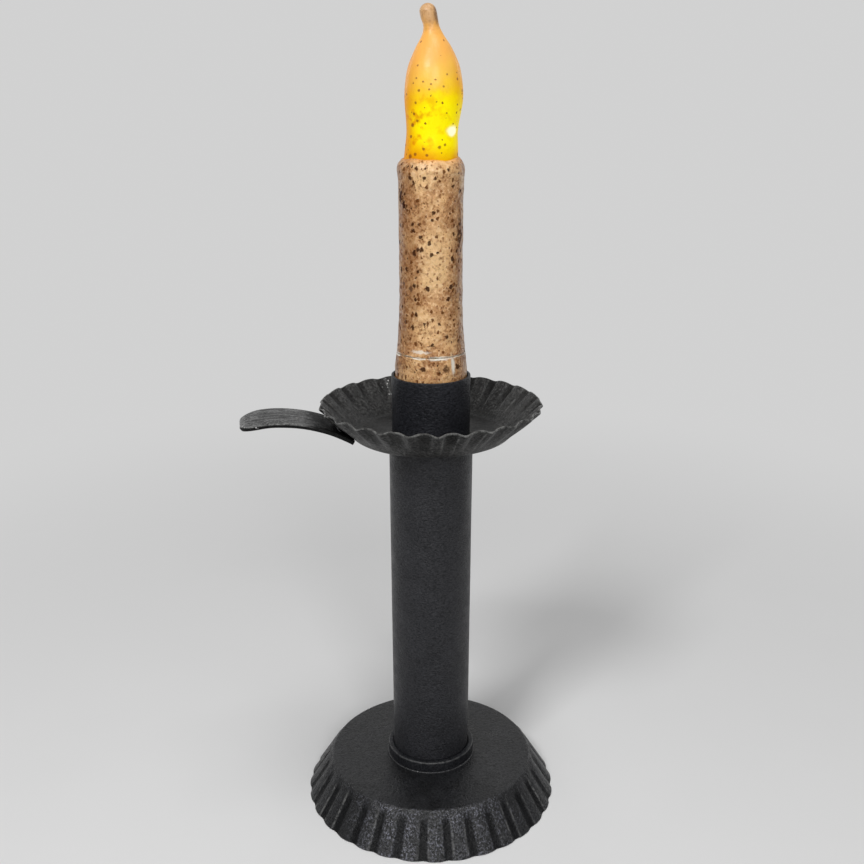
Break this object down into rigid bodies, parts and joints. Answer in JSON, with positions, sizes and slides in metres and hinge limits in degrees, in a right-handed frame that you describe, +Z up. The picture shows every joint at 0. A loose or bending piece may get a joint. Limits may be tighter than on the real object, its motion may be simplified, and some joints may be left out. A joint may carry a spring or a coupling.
{
  "type": "candlestick",
  "caption": "Painted tin candlestick with fluted base and drip pan, a finger strap and a battery taper with a flame-shaped bulb in its tubular socket.",
  "frame": {"origin": "where the stand's axis meets the table", "axes": "+Z up along the column, -X along the finger strap"},
  "size_m": [0.1018, 0.0876, 0.249],
  "materials": {
    "black_paint": "satin",
    "charcoal_paint": "satin",
    "solder_paint": "satin",
    "wax": "matte",
    "flame_bulb": "satin",
    "ivory_plastic": "matte",
    "dark_plastic": "matte",
    "board_green": "gloss",
    "bright_metal": "brushed",
    "brass": "satin",
    "cell_label": "gloss",
    "lens": "gloss"
  },
  "bodies": {
    "stand": {"base_pan": "charcoal_paint", "column_tube": "black_paint", "foot_collar": "black_paint", "foot_solder": "solder_paint", "drip_pan": "charcoal_paint", "pan_solder": "solder_paint", "socket_tube": "black_paint", "socket_stop": "black_paint", "finger_strap": "charcoal_paint", "strap_weld": "solder_paint"},
    "candle_base": {"battery_base": "ivory_plastic", "base_wax": "wax", "bottom_cap": "ivory_plastic", "switch_housing": "bright_metal", "circuit_board": "board_green", "timer_chip": "dark_plastic", "crystal": "bright_metal", "resistors": "dark_plastic", "board_screws": "bright_metal", "base_spring": "bright_metal", "cell_tray": "ivory_plastic", "lower_cell_can": "bright_metal", "lower_cell_sleeve": "cell_label", "lower_cell_cap": "bright_metal", "upper_cell_can": "bright_metal", "upper_cell_sleeve": "cell_label", "upper_cell_cap": "bright_metal", "contact_strip": "brass", "top_contact": "bright_metal", "lamp_legs": "bright_metal", "lamp": "lens"},
    "candle_sleeve": {"candle_tube": "ivory_plastic", "wax_coat": "wax", "flame_bulb": "flame_bulb"},
    "switch": {"switch_knob": "dark_plastic"}
  },
  "joints": [
    {"name": "candle_lift", "type": "slide", "parent": "stand", "child": "candle_base", "axis": [0, 0, 1], "range_m": [0, 0.045]},
    {"name": "sleeve_pull", "type": "slide", "parent": "candle_base", "child": "candle_sleeve", "axis": [0, 0, 1], "range_m": [0, 0.07]},
    {"name": "switch_slide", "type": "slide", "parent": "candle_base", "child": "switch", "axis": [0, 1, 0], "range_m": [-0.004, 0]}
  ]
}
